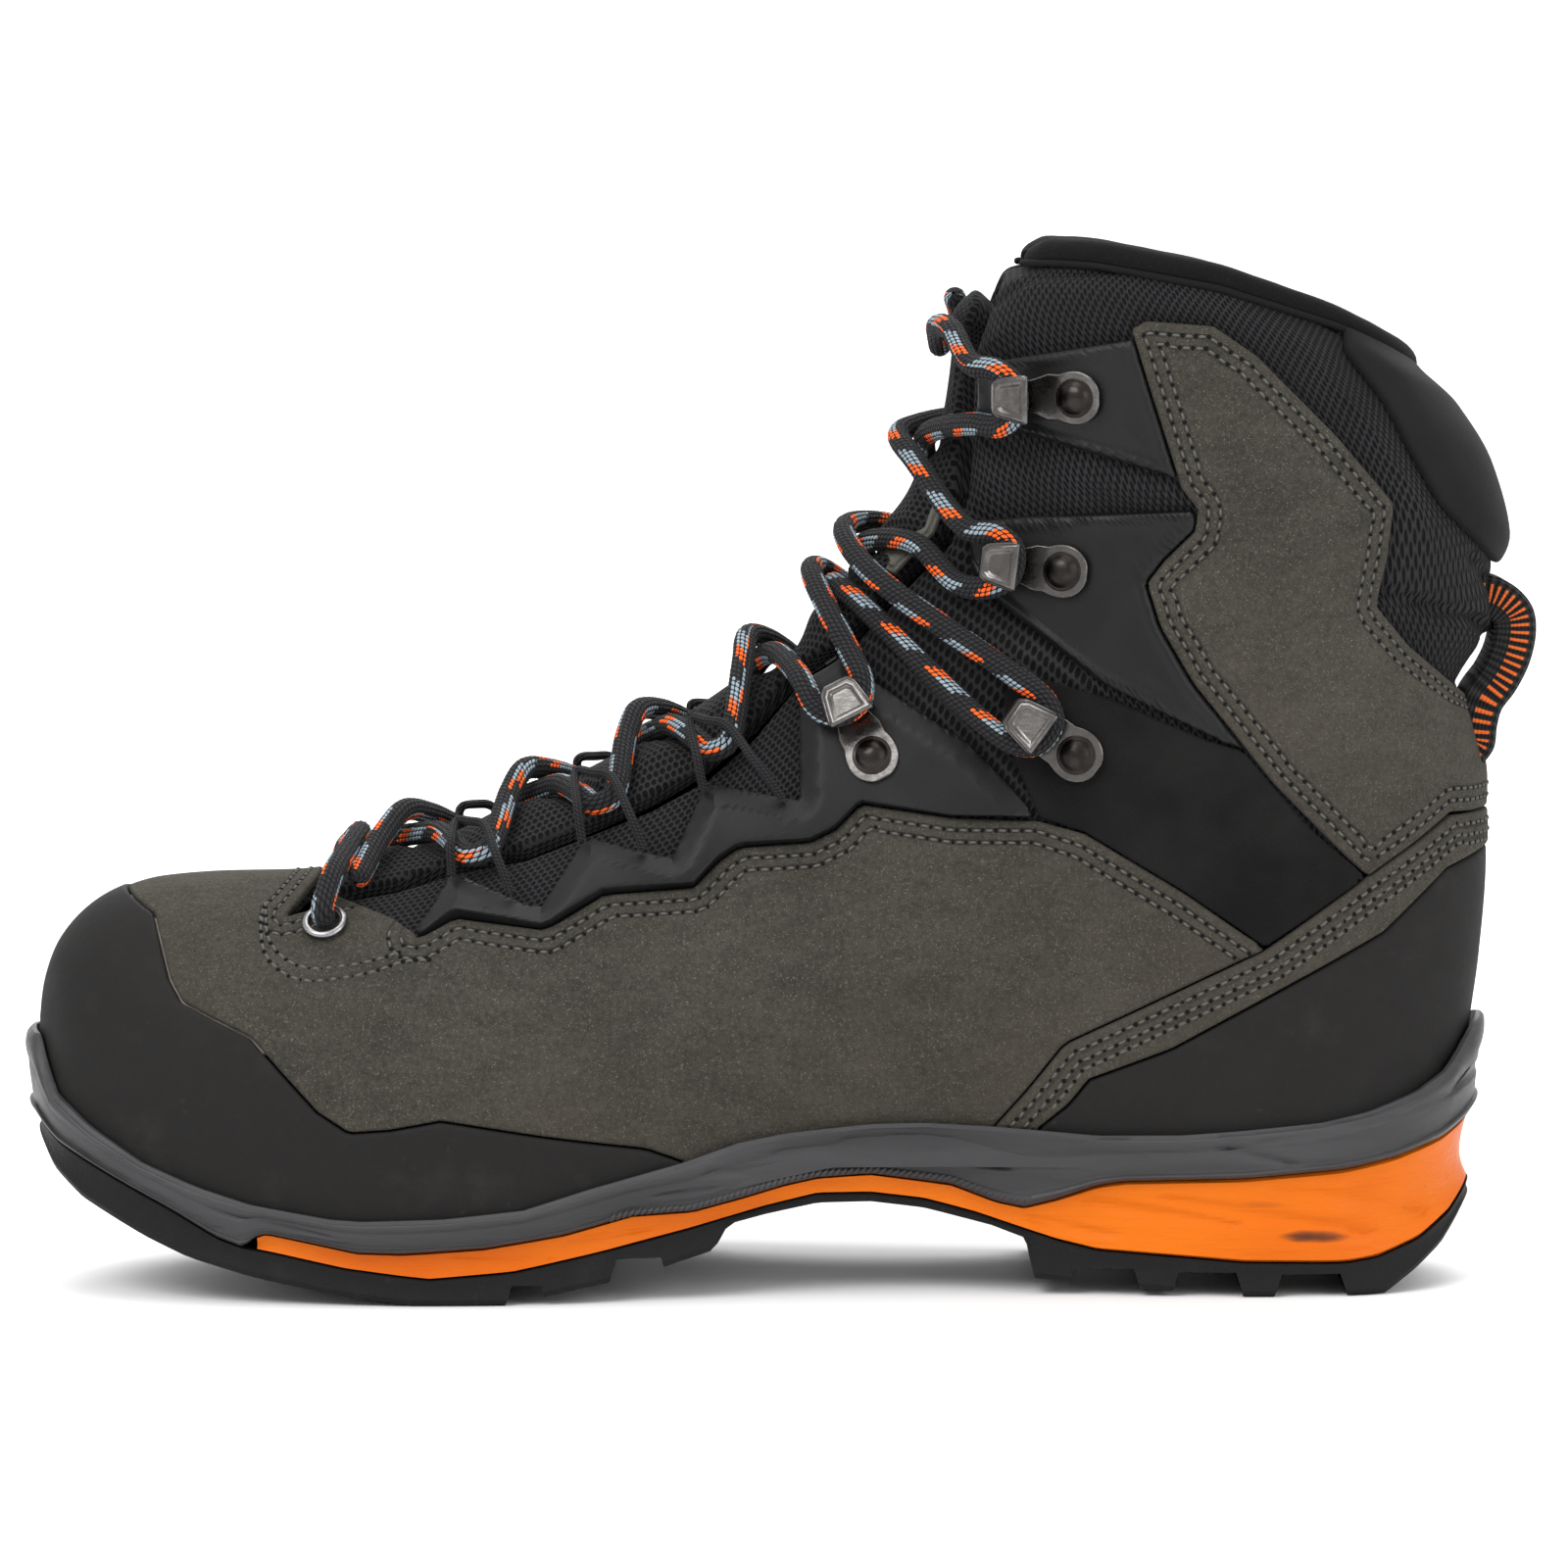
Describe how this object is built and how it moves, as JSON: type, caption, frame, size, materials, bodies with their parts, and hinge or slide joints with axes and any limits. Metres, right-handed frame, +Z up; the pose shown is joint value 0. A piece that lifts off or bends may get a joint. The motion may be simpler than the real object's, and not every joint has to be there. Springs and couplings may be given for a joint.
{
  "type": "hiking boot",
  "caption": "Mid-height hiking boot with suede and mesh upper, rubber rand, lace hooks, padded collar, hinged tongue, lift-out footbed and lugged sole with a coloured midsole.",
  "frame": {"origin": "centre of the bounding box's base, at the tread's lowest level", "axes": "+X from the toe to the heel, +Y across the boot towards its lateral side, +Z up"},
  "size_m": [0.3161, 0.1081, 0.2184],
  "materials": {
    "suede": "napped suede, olive grey",
    "rand_rubber": "matt",
    "frame_grey": "satin moulded",
    "foam_orange": "smooth moulded foam",
    "tread_rubber": "matt",
    "mesh_black": "hexagonal weave",
    "nubuck_black": "matt nubuck",
    "moulded_black": "satin moulded",
    "softshell": "smooth stretch",
    "lining_fabric": "knitted",
    "board": "pressed fibre board, matt",
    "shank_plastic": "satin",
    "stiffener": "matt",
    "footbed_fabric": "felt-like",
    "hook_metal": "dark nickel",
    "eyelet_metal": "polished",
    "lace_cord": "round braid with flecks",
    "webbing": "woven tape"
  },
  "bodies": {
    "boot": {"vamp_quarter": "suede", "heel_band": "suede", "shaft_panel": "suede", "toe_rand": "rand_rubber", "heel_rand": "rand_rubber", "midsole_frame": "frame_grey", "midsole": "foam_orange", "outsole": "tread_rubber", "cuff_mesh_medial": "mesh_black", "cuff_mesh_lateral": "mesh_black", "gusset_medial": "mesh_black", "gusset_lateral": "mesh_black", "collar_roll": "mesh_black", "ankle_wrap_medial": "nubuck_black", "ankle_wrap_lateral": "nubuck_black", "lace_frame_medial": "moulded_black", "lace_frame_lateral": "moulded_black", "wing_upper_medial": "moulded_black", "wing_upper_lateral": "moulded_black", "wing_middle_medial": "moulded_black", "wing_middle_lateral": "moulded_black", "achilles_pad": "softshell", "lining_forefoot": "lining_fabric", "lining_medial": "lining_fabric", "lining_lateral": "lining_fabric", "insole_board": "board", "shank": "shank_plastic", "toe_puff": "stiffener", "heel_counter": "stiffener", "hook_medial_1": "hook_metal", "hook_medial_2": "hook_metal", "hook_medial_3": "hook_metal", "hook_medial_4": "hook_metal", "hook_lateral_1": "hook_metal", "hook_lateral_2": "hook_metal", "hook_lateral_3": "hook_metal", "hook_lateral_4": "hook_metal", "rivet_medial_1": "hook_metal", "rivet_medial_2": "hook_metal", "rivet_medial_3": "hook_metal", "rivet_medial_4": "hook_metal", "rivet_lateral_1": "hook_metal", "rivet_lateral_2": "hook_metal", "rivet_lateral_3": "hook_metal", "rivet_lateral_4": "hook_metal", "eyelet_medial": "eyelet_metal", "eyelet_lateral": "eyelet_metal", "lace_bar": "lace_cord", "lace_strand_a": "lace_cord", "lace_strand_b": "lace_cord", "cord_loop_medial_1": "lace_cord", "cord_loop_medial_2": "lace_cord", "cord_loop_medial_3": "lace_cord", "cord_loop_lateral_1": "lace_cord", "cord_loop_lateral_2": "lace_cord", "cord_loop_lateral_3": "lace_cord", "pull_loop": "webbing"},
    "tongue": {"tongue": "mesh_black", "tongue_patch": "suede"},
    "footbed": {"footbed": "footbed_fabric"}
  },
  "joints": [
    {"name": "tongue_hinge", "type": "hinge", "parent": "boot", "child": "tongue", "pos_m": [-0.0832, -0.0076, 0.086], "axis": [0, 1, 0], "range_deg": [0, 12], "stiffness_Nm_per_rad": 0.5, "springref_deg": -5.73},
    {"name": "footbed_lift", "type": "hinge", "parent": "boot", "child": "footbed", "pos_m": [-0.1432, -0.0096, 0.037], "axis": [0, -1, 0], "range_deg": [0, 6]}
  ]
}
